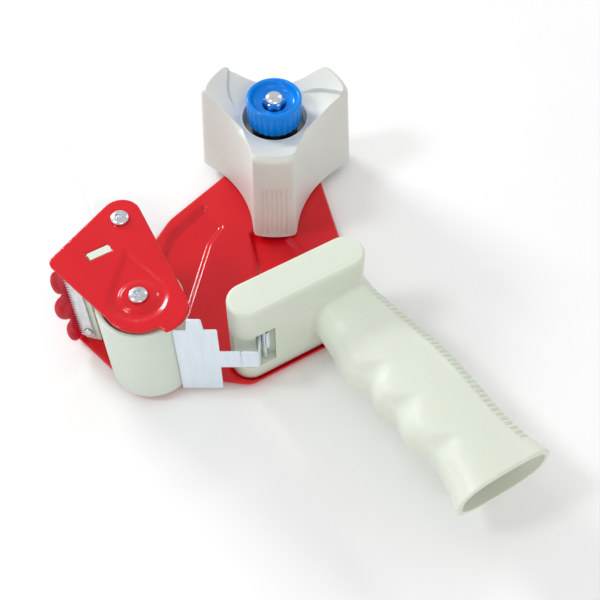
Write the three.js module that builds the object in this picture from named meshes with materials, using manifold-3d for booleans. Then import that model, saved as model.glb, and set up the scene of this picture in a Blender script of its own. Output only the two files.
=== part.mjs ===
// Handheld packing-tape dispenser: a stamped side plate carries the tape hub, the pistol handle,
// the tape roller, the blade holder and a shorter cheek plate on the other side of the tape.
//
// Frame, in millimetres: the origin is the centre of the spindle's rear head, +Z is the hub's
// axis and points from the side plate to the cheek plate, +X runs along the handle's block from
// its roller end, and the grip runs out along -Y.
import * as THREE from 'three';
import { mergeVertices } from 'three/addons/utils/BufferGeometryUtils.js';
import Module from 'manifold-3d';

const wasm = await Module();
wasm.setup();

// ---- Driving dimensions -------------------------------------------------------------------
const GAP = 0.3; // clearance between pieces that touch
const SHEET = 1.5; // thickness of both steel side plates
const PRESS_DEPTH = 2; // depth of the panels pressed into the side plate
const PLATE_TOP = PRESS_DEPTH + SHEET; // tape side of the side plate
const CHEEK_TOP = 54; // outside of the cheek plate
const CHEEK_BOTTOM = CHEEK_TOP - SHEET;

const HUB = {
  foot: 38.1, // radius at the foot: the hub fills a 76 mm (3 inch) core
  crown: 35.1, // radius at the top, after the moulding draft
  bottom: PLATE_TOP + 0.7,
  top: 57.3,
  lobes: 3,
  firstLobe: -120.7, // direction of one lobe, degrees
  lobeHalfWidth: 10.3,
  waist: 20.3, // nearest distance of the hollow sides from the axis
  wall: 2.6,
  dishRadius: 17,
  dishZ: 46.2,
  wellRadius: 14.7,
  wellFloor: 36,
  bore: 5.6,
};
const SPINDLE = { head: 6, neck: 4, flange: 7.4, journal: 5.2, thread: 3, top: 53 };
const KNOB = { radius: 12.6, bottom: 45.4, top: 58.4, flutes: 26, dishRadius: 10.6, dishZ: 54.4 };
const NUT = { across: 5, bottom: 49, shoulder: 57.2, top: 59.6 };
const SPRING = { radius: 7.6, wire: 1.2, bottom: 37.7, top: 43.3, turns: 2 };

const ROLLER = { x: -98.5, y: -64.2, radius: 17.8, bottom: PLATE_TOP + 0.5, top: 51, bore: 4.7 };
const POST = { x: -88.3, y: -25.2, radius: 5 };
const SHAFT_RADIUS = 4.4;
const SCREW = { head: 3.85, height: 1.9, shank: 1.8, length: 11 };
const TAPPED_HOLE = SCREW.shank + GAP;

const BLOCK = { left: -61.5, right: -15.5, y: -85, radius: 8.4, bottom: 1.8, top: 50.8 };
const SEAT_RADIUS = BLOCK.radius + GAP + 0.4;

const BLADE = { tipX: -120.3, tipY: -37.5, lean: 45, width: 6.4, bottom: 7, top: 50.6, thick: 0.8 };
const BAR = { left: -115.6, right: -98.2, low: -38.3, high: -34.7, tab: -107.6 };
const RIVET = { radius: 1, hole: 1.3, head: 2.1 };
const BLADE_RIVETS = { down: 4.3, heights: [11, 48] };
const WIPER_RIVETS = { x: -105, heights: [14, 40] };

// The guide plate lies across the block's axis at this angle, in degrees.
const GUIDE_ANGLE = -30.72;
const GUIDE = { face: -118.3, thick: 0.8 };
const GUIDE_PIN = { u: -3, v: -107.4, radius: 1.2, bottom: 5.4, top: 39.6 };
// The notch in the block for the guide plate's tongue, in the guide plate's axes.
const NOTCH = {
  left: -24,
  right: 1.6,
  front: -125,
  low: 10.5,
  shallow: { back: -110.2, high: 32.6 },
  deep: { left: -6.4, back: -104.2, high: 34.4 },
};

const FLAP = { x: -101.2, y: -34, length: 72, angle: 78.5, thick: 0.6, bottom: 5, top: 49.5 };

// ---- Materials ----------------------------------------------------------------------------
function finish(color, roughness, metalness) {
  return () => new THREE.MeshStandardMaterial({ color, roughness, metalness });
}
const redPaint = finish(0xd01522, 0.28, 0.1);
const ivoryPlastic = finish(0xd9dfcf, 0.45, 0);
const greyPlastic = finish(0xd6d8d0, 0.45, 0);
const bluePlastic = finish(0x0a6fd0, 0.22, 0);
const redRubber = finish(0xc2152a, 0.4, 0);
const zinc = finish(0xc9d3da, 0.35, 0.8);
const steel = finish(0xb9bcc0, 0.25, 0.95);
const brushed = finish(0x9a9da0, 0.35, 0.9);
const clearFilm = () => new THREE.MeshStandardMaterial({
  color: 0xf4f8fa, roughness: 0.1, metalness: 0, transparent: true, opacity: 0.3,
});

// ---- Geometry helpers ---------------------------------------------------------------------
const radians = THREE.MathUtils.degToRad;
const HOLE_SIDES = 12;
const ARC_STEPS = 4; // half the straight steps along each arc of an outline

function solid(geometry) {
  const bare = geometry.index ? geometry.toNonIndexed() : geometry.clone();
  bare.deleteAttribute('normal');
  bare.deleteAttribute('uv');
  const merged = mergeVertices(bare, 1e-4);
  return new wasm.Manifold(new wasm.Mesh({
    numProp: 3,
    vertProperties: new Float32Array(merged.attributes.position.array),
    triVerts: new Uint32Array(merged.index.array),
  }));
}

function geometryOf(manifold) {
  const mesh = manifold.getMesh();
  const geometry = new THREE.BufferGeometry();
  geometry.setAttribute('position', new THREE.BufferAttribute(mesh.vertProperties, 3));
  geometry.setIndex(new THREE.BufferAttribute(mesh.triVerts, 1));
  geometry.computeVertexNormals();
  return geometry;
}

// The outline as straight steps, without the doubled points where its arcs and lines join.
function stepped(shape, segments = ARC_STEPS) {
  const kept = [];
  for (const point of shape.getPoints(segments)) {
    if (kept.length === 0 || point.distanceTo(kept[kept.length - 1]) > 1e-3) kept.push(point);
  }
  if (kept[0].distanceTo(kept[kept.length - 1]) < 1e-3) kept.pop();
  return kept;
}

function extruded(shape, depth, segments = ARC_STEPS) {
  const outline = new THREE.Shape(stepped(shape, segments));
  return new THREE.ExtrudeGeometry(outline, { depth, bevelEnabled: false });
}

function slab(shape, low, high, segments = ARC_STEPS) {
  return solid(extruded(shape, high - low, segments).translate(0, 0, low));
}

function disc(x, y, radius, low, high, sides = 24) {
  const geometry = new THREE.CylinderGeometry(radius, radius, high - low, sides);
  return solid(geometry.rotateX(Math.PI / 2).translate(x, y, (low + high) / 2));
}

function box(x0, x1, y0, y1, z0, z1) {
  const geometry = new THREE.BoxGeometry(x1 - x0, y1 - y0, z1 - z0);
  return solid(geometry.translate((x0 + x1) / 2, (y0 + y1) / 2, (z0 + z1) / 2));
}

// A body of revolution about Z through (x, y); the profile is [radius, height] pairs.
function turned(profile, x, y, sides = 24) {
  const points = profile.map(([r, z]) => new THREE.Vector2(r, z));
  return solid(new THREE.LatheGeometry(points, sides).rotateX(Math.PI / 2).translate(x, y, 0));
}

// A closed outline with rounded corners, from [x, y, corner radius] triples.
function roundedOutline(corners) {
  const shape = new THREE.Shape();
  const count = corners.length;
  corners.forEach(([x, y, radius], i) => {
    const here = new THREE.Vector2(x, y);
    const before = new THREE.Vector2(...corners[(i + count - 1) % count].slice(0, 2));
    const after = new THREE.Vector2(...corners[(i + 1) % count].slice(0, 2));
    const back = before.sub(here).normalize();
    const forward = after.sub(here).normalize();
    const half = back.angleTo(forward) / 2;
    const reach = radius / Math.tan(half);
    const start = here.clone().addScaledVector(back, reach);
    const end = here.clone().addScaledVector(forward, reach);
    const middle = back.clone().add(forward).normalize();
    const centre = here.clone().addScaledVector(middle, radius / Math.sin(half));
    if (i === 0) shape.moveTo(start.x, start.y);
    else shape.lineTo(start.x, start.y);
    if (radius > 0) {
      const from = Math.atan2(start.y - centre.y, start.x - centre.x);
      const to = Math.atan2(end.y - centre.y, end.x - centre.x);
      const clockwise = back.cross(forward) > 0;
      shape.absarc(centre.x, centre.y, radius, from, to, clockwise);
    }
  });
  shape.closePath();
  return shape;
}

// The same outline moved inwards by a distance.
function inset(shape, distance, segments = ARC_STEPS) {
  const points = stepped(shape, segments);
  if (THREE.ShapeUtils.isClockWise(points)) points.reverse();
  const moved = points.map((point, i) => {
    const before = points[(i + points.length - 1) % points.length];
    const after = points[(i + 1) % points.length];
    const a = point.clone().sub(before).normalize();
    const b = after.clone().sub(point).normalize();
    const normal = new THREE.Vector2(-a.y - b.y, a.x + b.x).normalize();
    const stretch = 1 / Math.max(0.5, normal.dot(new THREE.Vector2(-a.y, a.x)));
    return point.clone().addScaledVector(normal, distance * stretch);
  });
  return new THREE.Shape(moved);
}

function stadium(x0, x1, y, radius) {
  const shape = new THREE.Shape();
  shape.absarc(x0, y, radius, Math.PI / 2, 1.5 * Math.PI, false);
  shape.absarc(x1, y, radius, -Math.PI / 2, Math.PI / 2, false);
  shape.closePath();
  return shape;
}

const group = new THREE.Group();
group.name = 'tape_dispenser';

function add(name, body, material, parent = group) {
  const geometry = body instanceof THREE.BufferGeometry ? body : geometryOf(body);
  const mesh = new THREE.Mesh(geometry, material());
  mesh.name = name;
  parent.add(mesh);
  return mesh;
}

// ---- Side plates --------------------------------------------------------------------------
// Nose and front edge, shared by both plates: [x, y, radius].
const NOSE = [-123.2, -30.3, 4];
const FRONT_LOW = [-113.2, -67, 12];

function sidePlateOutline() {
  return roundedOutline([
    NOSE,
    FRONT_LOW,
    [-107.4, -80.2, 12],
    [-90, -80.4, 10],
    [-76.4, -88.4, 6],
    [-67.6, -95.6, 9],
    [-7.6, -95.6, 5],
    [19, -9, 18],
    [9, 24, 17],
    [-57.5, 3, 20],
    [-72, -6.4, 8],
  ]);
}

function panelOutlines() {
  const band = roundedOutline([
    [-36.8, 4.6, 4],
    [-60.7, -3.4, 5],
    [-69.3, -12.2, 12],
    [-78, -33, 10],
    [-80, -57, 3],
    [-46.5, -20, 10],
    [-36, -13.8, 4],
  ]);
  const channel = roundedOutline([
    [-28.5, -21, 3],
    [-35, -41, 20],
    [-52, -68, 12],
    [-52, -84, 3],
    [-12, -84, 3],
    [-11.8, -40, 10],
    [-14, -27, 4],
  ]);
  const seat = stadium(BLOCK.left, BLOCK.right, BLOCK.y, SEAT_RADIUS + SHEET);
  return [band, channel, seat];
}

const HANDLE_SCREWS = [[-44, BLOCK.y], [-22, BLOCK.y]];
const SINK = { wide: 3.9, narrow: 2.2 };

function barSlot(low, high) {
  const margin = 0.6;
  return box(BAR.tab - margin, BAR.right + margin, BAR.low - GAP, BAR.high + GAP, low, high);
}

function makeSidePlate() {
  let plate = slab(sidePlateOutline(), PRESS_DEPTH, PLATE_TOP);
  const panels = panelOutlines();
  for (const panel of panels) plate = plate.add(slab(panel, 0, PLATE_TOP));
  for (const panel of panels) {
    plate = plate.subtract(slab(inset(panel, SHEET), SHEET, PLATE_TOP + 1));
  }
  plate = plate.subtract(disc(0, 0, SPINDLE.neck + GAP, -1, PLATE_TOP + 1));
  for (const { x, y } of [ROLLER, POST]) {
    plate = plate.subtract(disc(x, y, TAPPED_HOLE, -1, PLATE_TOP + 1, HOLE_SIDES));
  }
  for (const [x, y] of HANDLE_SCREWS) {
    const cone = [[0, -0.1], [SINK.wide, -0.1], [SINK.narrow, SHEET], [SINK.narrow, 2], [0, 2]];
    plate = plate.subtract(turned(cone, x, y, HOLE_SIDES));
  }
  return plate.subtract(barSlot(0, PLATE_TOP + 1));
}

function cheekOutline() {
  const shape = new THREE.Shape();
  const round = { x: ROLLER.x, y: ROLLER.y - 1.8, radius: 15.1 };
  const ear = { x: -94, y: -73, radius: 11.7 };
  const top = { x: -87.1, y: -23.3, radius: 8.4 };
  const nose = { x: -118.6, y: -32.6, radius: 4 };
  shape.absarc(nose.x, nose.y, nose.radius, radians(114), radians(195), false);
  shape.absarc(round.x, round.y, round.radius, radians(183), radians(272), false);
  shape.absarc(ear.x, ear.y, ear.radius, radians(258), radians(354), false);
  shape.absarc(top.x, top.y, top.radius, radians(-6), radians(114), false);
  shape.closePath();
  return shape;
}

// The pressed hollow around the roller's screw: a circle drawn out to a point.
function teardrop(radius) {
  const shape = new THREE.Shape();
  const spread = radians(61);
  const towards = radians(77);
  const apex = radius / Math.cos(spread);
  shape.absarc(ROLLER.x, ROLLER.y, radius, towards + spread, towards - spread + 2 * Math.PI, false);
  shape.lineTo(ROLLER.x + apex * Math.cos(towards), ROLLER.y + apex * Math.sin(towards));
  shape.closePath();
  return shape;
}

function makeCheekPlate() {
  const press = 1;
  const hollow = 12.6;
  const island = 7;
  let plate = slab(cheekOutline(), CHEEK_BOTTOM, CHEEK_TOP);
  plate = plate.add(slab(teardrop(hollow), CHEEK_BOTTOM - press, CHEEK_TOP));
  plate = plate.subtract(slab(teardrop(hollow - SHEET), CHEEK_TOP - press, CHEEK_TOP + 1));
  plate = plate.add(disc(ROLLER.x, ROLLER.y, island, CHEEK_BOTTOM - press, CHEEK_TOP));
  for (const { x, y } of [ROLLER, POST]) {
    plate = plate.subtract(disc(x, y, TAPPED_HOLE, CHEEK_BOTTOM - press - 1, CHEEK_TOP + 1, HOLE_SIDES));
  }
  return plate.subtract(barSlot(CHEEK_BOTTOM - 1, CHEEK_TOP + 1));
}

add('side_plate', makeSidePlate(), redPaint);
add('cheek_plate', makeCheekPlate(), redPaint);

// ---- Shafts and screws --------------------------------------------------------------------
// A pan-head cross-recess screw with its head's seat at the origin and its head along +Z.
function screwSolid(height = SCREW.height, length = SCREW.length) {
  const { head, shank } = SCREW;
  const profile = [[0, -length], [shank, -length], [shank, 0], [head, 0], [head, height * 0.35]];
  const steps = 3;
  for (let i = 1; i <= steps; i += 1) {
    const turn = (i / steps) * Math.PI / 2;
    profile.push([head * Math.cos(turn), height * (0.35 + 0.65 * Math.sin(turn))]);
  }
  profile[profile.length - 1][0] = 0;
  const recess = { half: 0.45, reach: 2.1, depth: height * 0.55 };
  let screw = turned(profile, 0, 0, 16);
  for (const [a, b] of [[recess.half, recess.reach], [recess.reach, recess.half]]) {
    screw = screw.subtract(box(-a, a, -b, b, height - recess.depth, height + 1));
  }
  return screw;
}

function addScrew(name, x, y, z, upwards, height = SCREW.height) {
  const screw = add(name, screwSolid(height), steel);
  screw.position.set(x, y, z);
  if (!upwards) screw.rotation.x = Math.PI;
}

// A tube between the plates, tapped at both ends.
function spacer(radius, low, high) {
  const depth = SCREW.length + 2;
  let tube = disc(0, 0, radius, low, high);
  tube = tube.subtract(disc(0, 0, TAPPED_HOLE, low - 1, low + depth, HOLE_SIDES));
  return tube.subtract(disc(0, 0, TAPPED_HOLE, high - depth, high + 1, HOLE_SIDES));
}

const REAR_HEAD = PRESS_DEPTH - GAP; // height left for a screw head behind the side plate

const shaftTop = CHEEK_BOTTOM - 1 - GAP; // under the cheek plate's pressed hollow
const rollerShaft = add('roller_shaft', spacer(SHAFT_RADIUS, PLATE_TOP + GAP, shaftTop), steel);
rollerShaft.position.set(ROLLER.x, ROLLER.y, 0);
addScrew('roller_screw_cheek_side', ROLLER.x, ROLLER.y, CHEEK_TOP + GAP, true);
addScrew('roller_screw_plate_side', ROLLER.x, ROLLER.y, REAR_HEAD, false, REAR_HEAD - 0.1);

const postBody = spacer(POST.radius, PLATE_TOP + GAP, CHEEK_BOTTOM - GAP);
const spacerPost = add('spacer_post', postBody, steel);
spacerPost.position.set(POST.x, POST.y, 0);
addScrew('post_screw_cheek_side', POST.x, POST.y, CHEEK_TOP + GAP, true);
addScrew('post_screw_plate_side', POST.x, POST.y, REAR_HEAD, false, REAR_HEAD - 0.1);

// ---- Roller -------------------------------------------------------------------------------
function makeRoller() {
  const { radius, bottom, top, bore } = ROLLER;
  const rim = 2.4;
  const boss = bore + 2.6;
  const pocket = 16;
  const bevel = 0.8;
  const profile = [
    [bore, bottom],
    [boss, bottom],
    [boss, bottom + pocket],
    [radius - rim, bottom + pocket],
    [radius - rim, bottom],
    [radius - bevel, bottom],
    [radius, bottom + bevel],
    [radius, top - bevel],
    [radius - bevel, top],
    [radius - rim, top],
    [radius - rim, top - pocket],
    [boss, top - pocket],
    [boss, top],
    [bore, top],
    [bore, bottom],
  ];
  return turned(profile, 0, 0, 36);
}
add('tape_roller', makeRoller(), ivoryPlastic).position.set(ROLLER.x, ROLLER.y, 0);

// ---- Hub and brake ------------------------------------------------------------------------
// Three lobes with straight pads, joined by hollow sides that swing in to the waist.
function lobedOutline(foot, halfWidth, waist) {
  const shape = new THREE.Shape();
  const padAngle = Math.asin(halfWidth / foot);
  const opening = Math.PI / HUB.lobes;
  const cornerX = foot * Math.cos(opening - padAngle);
  const cornerY = foot * Math.sin(opening - padAngle);
  // A circle centred on the line between two lobes, through the waist and both pad corners.
  const far = (cornerX ** 2 + cornerY ** 2 - waist ** 2) / (2 * (cornerX - waist));
  const swing = Math.atan2(cornerY, far - cornerX);
  for (let i = 0; i < HUB.lobes; i += 1) {
    const lobe = radians(HUB.firstLobe) + i * 2 * opening;
    const between = lobe + opening;
    shape.absarc(0, 0, foot, lobe - padAngle, lobe + padAngle, false);
    const x = far * Math.cos(between);
    const y = far * Math.sin(between);
    const back = between + Math.PI;
    shape.absarc(x, y, far - waist, back + swing, back - swing, true);
  }
  shape.closePath();
  return shape;
}

function makeHub() {
  const { foot, crown, bottom, top, wall, wellRadius, wellFloor, bore } = HUB;
  const outline = lobedOutline(foot, HUB.lobeHalfWidth, HUB.waist);
  const blank = extruded(outline, top - bottom, 6);
  const position = blank.attributes.position;
  for (let i = 0; i < position.count; i += 1) {
    const scale = 1 - (1 - crown / foot) * (position.getZ(i) / (top - bottom));
    position.setXY(i, position.getX(i) * scale, position.getY(i) * scale);
  }
  let hub = solid(blank.translate(0, 0, bottom));
  const clear = 50; // outside the lobes
  const dish = [
    [0, HUB.dishZ],
    [HUB.dishRadius, HUB.dishZ],
    [crown, top - 0.6],
    [clear, top],
    [clear, top + 10],
    [0, top + 10],
  ];
  hub = hub.subtract(turned(dish, 0, 0, 36));
  const hollowTop = HUB.dishZ - wall;
  const inner = lobedOutline(crown - wall, HUB.lobeHalfWidth - wall, HUB.waist - wall);
  hub = hub.subtract(slab(inner, 0, hollowTop, 6));
  const well = wellRadius + wall;
  hub = hub.add(disc(0, 0, well, wellFloor - wall, HUB.dishZ - 0.01, 36));
  hub = hub.add(disc(0, 0, bore + 3.6, bottom + 1.4, wellFloor));
  hub = hub.subtract(disc(0, 0, wellRadius, wellFloor, top + 1, 36));
  return hub.subtract(disc(0, 0, bore, 0, top));
}
add('tape_hub', makeHub(), greyPlastic);

function makeSpindle() {
  const { head, neck, flange, journal, thread, top } = SPINDLE;
  const shoulder = HUB.wellFloor + 1.6;
  const profile = [
    [0, 0],
    [head, 0],
    [head, REAR_HEAD],
    [neck, REAR_HEAD],
    [neck, PLATE_TOP + GAP],
    [flange, PLATE_TOP + GAP],
    [flange, HUB.bottom + 1.1],
    [journal, HUB.bottom + 1.1],
    [journal, shoulder],
    [thread, shoulder],
    [thread, top],
    [0, top],
  ];
  return turned(profile, 0, 0);
}
add('hub_spindle', makeSpindle(), steel);

function washer(inner, outer, low, high) {
  return turned([[inner, low], [outer, low], [outer, high], [inner, high], [inner, low]], 0, 0);
}
add('friction_washer', washer(SPINDLE.journal + GAP, 10.5, 36.3, 37.3), steel);
add('pressure_washer', washer(SPINDLE.thread + GAP, 10.5, 43.7, 45), steel);

function makeSpring() {
  const { radius, wire, bottom, top, turns } = SPRING;
  const stepsPerTurn = 12;
  const points = [];
  for (let i = 0; i <= turns * stepsPerTurn; i += 1) {
    const turn = (i / stepsPerTurn) * 2 * Math.PI;
    const share = i / (turns * stepsPerTurn);
    const z = THREE.MathUtils.lerp(bottom + wire / 2, top - wire / 2, share);
    points.push(new THREE.Vector3(radius * Math.cos(turn), radius * Math.sin(turn), z));
  }
  const section = new THREE.Shape();
  section.absarc(0, 0, wire / 2, 0, 2 * Math.PI, false);
  return solid(new THREE.ExtrudeGeometry(section, {
    steps: points.length - 1,
    curveSegments: 3,
    bevelEnabled: false,
    extrudePath: new THREE.CatmullRomCurve3(points),
  }));
}
add('brake_spring', makeSpring(), brushed);

function makeKnob() {
  const { radius, bottom, top, flutes, dishRadius, dishZ } = KNOB;
  const fluteDepth = 0.45;
  const plain = 2; // height of the smooth rim above the flutes
  const outline = new THREE.Shape();
  for (let i = 0; i < flutes * 2; i += 1) {
    const angle = (i / (flutes * 2)) * 2 * Math.PI;
    const reach = radius - (i % 2) * fluteDepth;
    if (i === 0) outline.moveTo(reach, 0);
    else outline.lineTo(reach * Math.cos(angle), reach * Math.sin(angle));
  }
  outline.closePath();
  const bevel = 0.8;
  const rim = [
    [0, top - plain],
    [radius, top - plain],
    [radius, top - bevel],
    [radius - bevel, top],
    [0, top],
  ];
  let knob = slab(outline, bottom, top - plain + 0.01).add(turned(rim, 0, 0, 52));
  const dish = [
    [0, dishZ],
    [dishRadius - 1.4, dishZ],
    [dishRadius, top - 0.4],
    [dishRadius + 0.4, top + 0.1],
    [0, top + 1],
  ];
  knob = knob.subtract(turned(dish, 0, 0, 32));
  knob = knob.subtract(disc(0, 0, NUT.across + GAP, NUT.bottom - GAP, top, 6));
  return knob.subtract(disc(0, 0, SPINDLE.thread + 0.4, bottom - 1, top, HOLE_SIDES));
}
add('brake_knob', makeKnob(), bluePlastic);

function makeNut() {
  const { across, bottom, shoulder, top } = NUT;
  const round = across * 0.86; // just inside the flats of the hexagon
  const dome = [[0, shoulder - 1], [round, shoulder - 1], [round, shoulder]];
  const steps = 4;
  for (let i = 1; i <= steps; i += 1) {
    const turn = (i / steps) * Math.PI / 2;
    dome.push([round * Math.cos(turn), shoulder + (top - shoulder) * Math.sin(turn)]);
  }
  dome[dome.length - 1][0] = 0;
  const nut = disc(0, 0, across, bottom, shoulder, 6).add(turned(dome, 0, 0));
  return nut.subtract(disc(0, 0, SPINDLE.thread + GAP, bottom - 1, shoulder - 0.6, HOLE_SIDES));
}
add('knob_nut', makeNut(), steel);

// ---- Handle -------------------------------------------------------------------------------
// The grip is a hollow tube with oval sections. Its two edges, as [y, x of the finger edge,
// x of the back edge], run from inside the block to the open end.
const GRIP_STATIONS = [
  [-85, -37, -7.2],
  [-98, -36.6, -6],
  [-110, -36.8, -3.6],
  [-123, -38.6, -0.6],
  [-133, -34.6, 1.6],
  [-141, -35.8, 2.8],
  [-149, -32.4, 3.5],
  [-160, -33.4, 4.1],
  [-172, -29.6, 4.6],
  [-184, -30.4, 6.8],
  [-193.6, -33, 10],
];
const GRIP_END = -193.6;
const GRIP_MIDDLE = 26; // height of the grip's middle plane
const GRIP_HALF_HEIGHT = 12.8;
const GRIP_WALL = 2.4;

// A closed tube through the stations, made by bending a plain cylinder onto the sections.
function gripBody(shrink, startY, endY) {
  const rows = 28;
  const sides = 20;
  const samples = 200;
  const edge = (column) => {
    const points = GRIP_STATIONS.map((station) => new THREE.Vector3(station[column], station[0], 0));
    return new THREE.CatmullRomCurve3(points).getPoints(samples);
  };
  const fingerPoints = edge(1);
  const backPoints = edge(2);
  const edgeAt = (points, y) => {
    const next = Math.max(1, points.findIndex((p) => p.y <= y));
    const share = (points[next - 1].y - y) / (points[next - 1].y - points[next].y);
    return THREE.MathUtils.lerp(points[next - 1].x, points[next].x, share);
  };
  const geometry = new THREE.CylinderGeometry(1, 1, 1, sides, rows);
  const position = geometry.attributes.position;
  const squareness = 0.7; // below 1 the section is fuller than an ellipse
  for (let i = 0; i < position.count; i += 1) {
    const y = THREE.MathUtils.lerp(endY, startY, position.getY(i) + 0.5);
    const along = Math.max(y, GRIP_END + 0.1);
    const low = edgeAt(fingerPoints, along) + shrink;
    const high = edgeAt(backPoints, along) - shrink;
    const across = Math.sign(position.getX(i)) * Math.abs(position.getX(i)) ** squareness;
    const up = Math.sign(position.getZ(i)) * Math.abs(position.getZ(i)) ** squareness;
    const x = (low + high) / 2 + across * (high - low) / 2;
    position.setXYZ(i, x, y, GRIP_MIDDLE + up * (GRIP_HALF_HEIGHT - shrink));
  }
  return solid(geometry);
}

// Plan point of the guide plate's own axes: u along the plate, v across it.
function fromGuide(u, v) {
  const turn = radians(GUIDE_ANGLE);
  return [u * Math.cos(turn) - v * Math.sin(turn), u * Math.sin(turn) + v * Math.cos(turn)];
}

function guideBox(u0, u1, v0, v1, z0, z1) {
  const [x, y] = fromGuide((u0 + u1) / 2, (v0 + v1) / 2);
  const geometry = new THREE.BoxGeometry(u1 - u0, v1 - v0, z1 - z0);
  return solid(geometry.rotateZ(radians(GUIDE_ANGLE)).translate(x, y, (z0 + z1) / 2));
}

function makeHandle() {
  const { left, right, y, radius, bottom, top } = BLOCK;
  const bevel = 1.6;
  const step = (shrink, low, high) => slab(stadium(left, right, y, radius - shrink), low, high);
  let handle = step(0, bottom, top - bevel);
  handle = handle.add(step(bevel * 0.3, top - bevel - 0.5, top - bevel / 2));
  handle = handle.add(step(bevel, top - bevel - 0.5, top));
  handle = handle.add(gripBody(0, y, GRIP_END));
  // The block is open below between its solid ends, and the grip is open at its far end.
  const core = { left: -36, right: -30, wall: 2.6, roof: 3 };
  const hollow = stadium(core.left, core.right, y, radius - core.wall);
  handle = handle.subtract(slab(hollow, 0, top - core.roof));
  const closedFrom = y - radius - 3.6;
  handle = handle.subtract(gripBody(GRIP_WALL, closedFrom, GRIP_END - GRIP_WALL));
  const tapped = 15;
  for (const [x, screwY] of HANDLE_SCREWS) {
    handle = handle.subtract(disc(x, screwY, TAPPED_HOLE, 0, tapped, HOLE_SIDES));
  }
  // A notch round the roller end lets the guide plate's tongue in to its pin.
  const { left: notchLeft, right: notchRight, front, low, shallow, deep } = NOTCH;
  handle = handle.subtract(guideBox(notchLeft, notchRight, front, shallow.back, low, shallow.high));
  handle = handle.subtract(guideBox(deep.left, notchRight, front, deep.back, low, deep.high));
  const [pinX, pinY] = fromGuide(GUIDE_PIN.u, GUIDE_PIN.v);
  const { radius: pinRadius, bottom: pinLow, top: pinHigh } = GUIDE_PIN;
  return handle.subtract(disc(pinX, pinY, pinRadius + GAP, pinLow - 0.4, pinHigh + 0.4, HOLE_SIDES));
}
add('handle', makeHandle(), ivoryPlastic);

function countersunkScrew() {
  const head = [[0, 0.1], [SINK.wide - 0.5, 0.1], [SCREW.shank, SHEET], [SCREW.shank, 12], [0, 12]];
  const slot = { half: 0.4, reach: 2 };
  let screw = turned(head, 0, 0, 16);
  for (const [a, b] of [[slot.half, slot.reach], [slot.reach, slot.half]]) {
    screw = screw.subtract(box(-a, a, -b, b, -1, 0.9));
  }
  return screw;
}
HANDLE_SCREWS.forEach(([x, y], i) => {
  add(`handle_screw_${i + 1}`, countersunkScrew(), steel).position.set(x, y, 0);
});

// ---- Blade, its holder and the wiper ------------------------------------------------------
// Blade axes: t runs down the blade's face from its tooth tips, n points out of the nose.
const bladeDown = new THREE.Vector2(Math.sin(radians(BLADE.lean)), -Math.cos(radians(BLADE.lean)));
const bladeOut = new THREE.Vector2(bladeDown.y, -bladeDown.x);

function onBlade(t, n) {
  return new THREE.Vector2(BLADE.tipX, BLADE.tipY)
    .addScaledVector(bladeDown, t)
    .addScaledVector(bladeOut, n);
}

// Turns a flat outline drawn in (t, z) into a sheet on the blade's plane.
function bladeSheet(shape, outerFace, thick) {
  const geometry = extruded(shape, thick);
  const origin = onBlade(0, outerFace - thick);
  const basis = new THREE.Matrix4().makeBasis(
    new THREE.Vector3(bladeDown.x, bladeDown.y, 0),
    new THREE.Vector3(0, 0, 1),
    new THREE.Vector3(bladeOut.x, bladeOut.y, 0),
  );
  basis.setPosition(origin.x, origin.y, 0);
  return solid(geometry.applyMatrix4(basis));
}

function makeBlade() {
  const pitch = 1.8;
  const toothDepth = 2.2;
  const teeth = Math.round((BLADE.top - BLADE.bottom) / pitch);
  const step = (BLADE.top - BLADE.bottom) / teeth;
  const shape = new THREE.Shape();
  shape.moveTo(BLADE.width, BLADE.bottom);
  shape.lineTo(BLADE.width, BLADE.top);
  shape.lineTo(toothDepth, BLADE.top);
  for (let i = 0; i < teeth; i += 1) {
    shape.lineTo(0, BLADE.top - (i + 0.5) * step);
    shape.lineTo(toothDepth, BLADE.top - (i + 1) * step);
  }
  shape.closePath();
  let blade = bladeSheet(shape, 0, BLADE.thick);
  for (const z of BLADE_RIVETS.heights) blade = blade.subtract(bladeHole(z, -1.5, 0.5));
  return blade;
}

// A rivet hole square to the blade's face, from depth n0 to n1 along its outward normal.
function bladeHole(z, n0, n1) {
  const geometry = new THREE.CylinderGeometry(RIVET.hole, RIVET.hole, n1 - n0, HOLE_SIDES);
  const centre = onBlade(BLADE_RIVETS.down, (n0 + n1) / 2);
  const turn = Math.atan2(bladeOut.y, bladeOut.x) - Math.PI / 2;
  return solid(geometry.rotateZ(turn).translate(centre.x, centre.y, z));
}

function makeBladeHolder() {
  const low = PLATE_TOP + GAP;
  const high = CHEEK_BOTTOM - GAP;
  const face = -(BLADE.thick + GAP);
  const lip = { from: 1.4, to: 8.6, depth: 2.2 };
  const section = new THREE.Shape([
    onBlade(lip.from, face),
    onBlade(lip.to, face),
    onBlade(lip.to, face - lip.depth),
    onBlade(lip.from, face - lip.depth),
  ]);
  const tabLow = PRESS_DEPTH + 0.2;
  const tabHigh = CHEEK_TOP - 0.2;
  let holder = slab(section, low, high);
  holder = holder.add(box(BAR.left - 1.5, BAR.right, BAR.low, BAR.high, low, high));
  holder = holder.add(box(BAR.tab, BAR.right, BAR.low, BAR.high, tabLow, tabHigh));
  for (const z of BLADE_RIVETS.heights) holder = holder.subtract(bladeHole(z, -8, 1));
  for (const z of WIPER_RIVETS.heights) holder = holder.subtract(wiperHole(z));
  return holder;
}

// A rivet hole along Y through the bar and the wiper.
function wiperHole(z) {
  const length = 14;
  const geometry = new THREE.CylinderGeometry(RIVET.hole, RIVET.hole, length, HOLE_SIDES);
  return solid(geometry.translate(WIPER_RIVETS.x, BAR.high, z));
}

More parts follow.
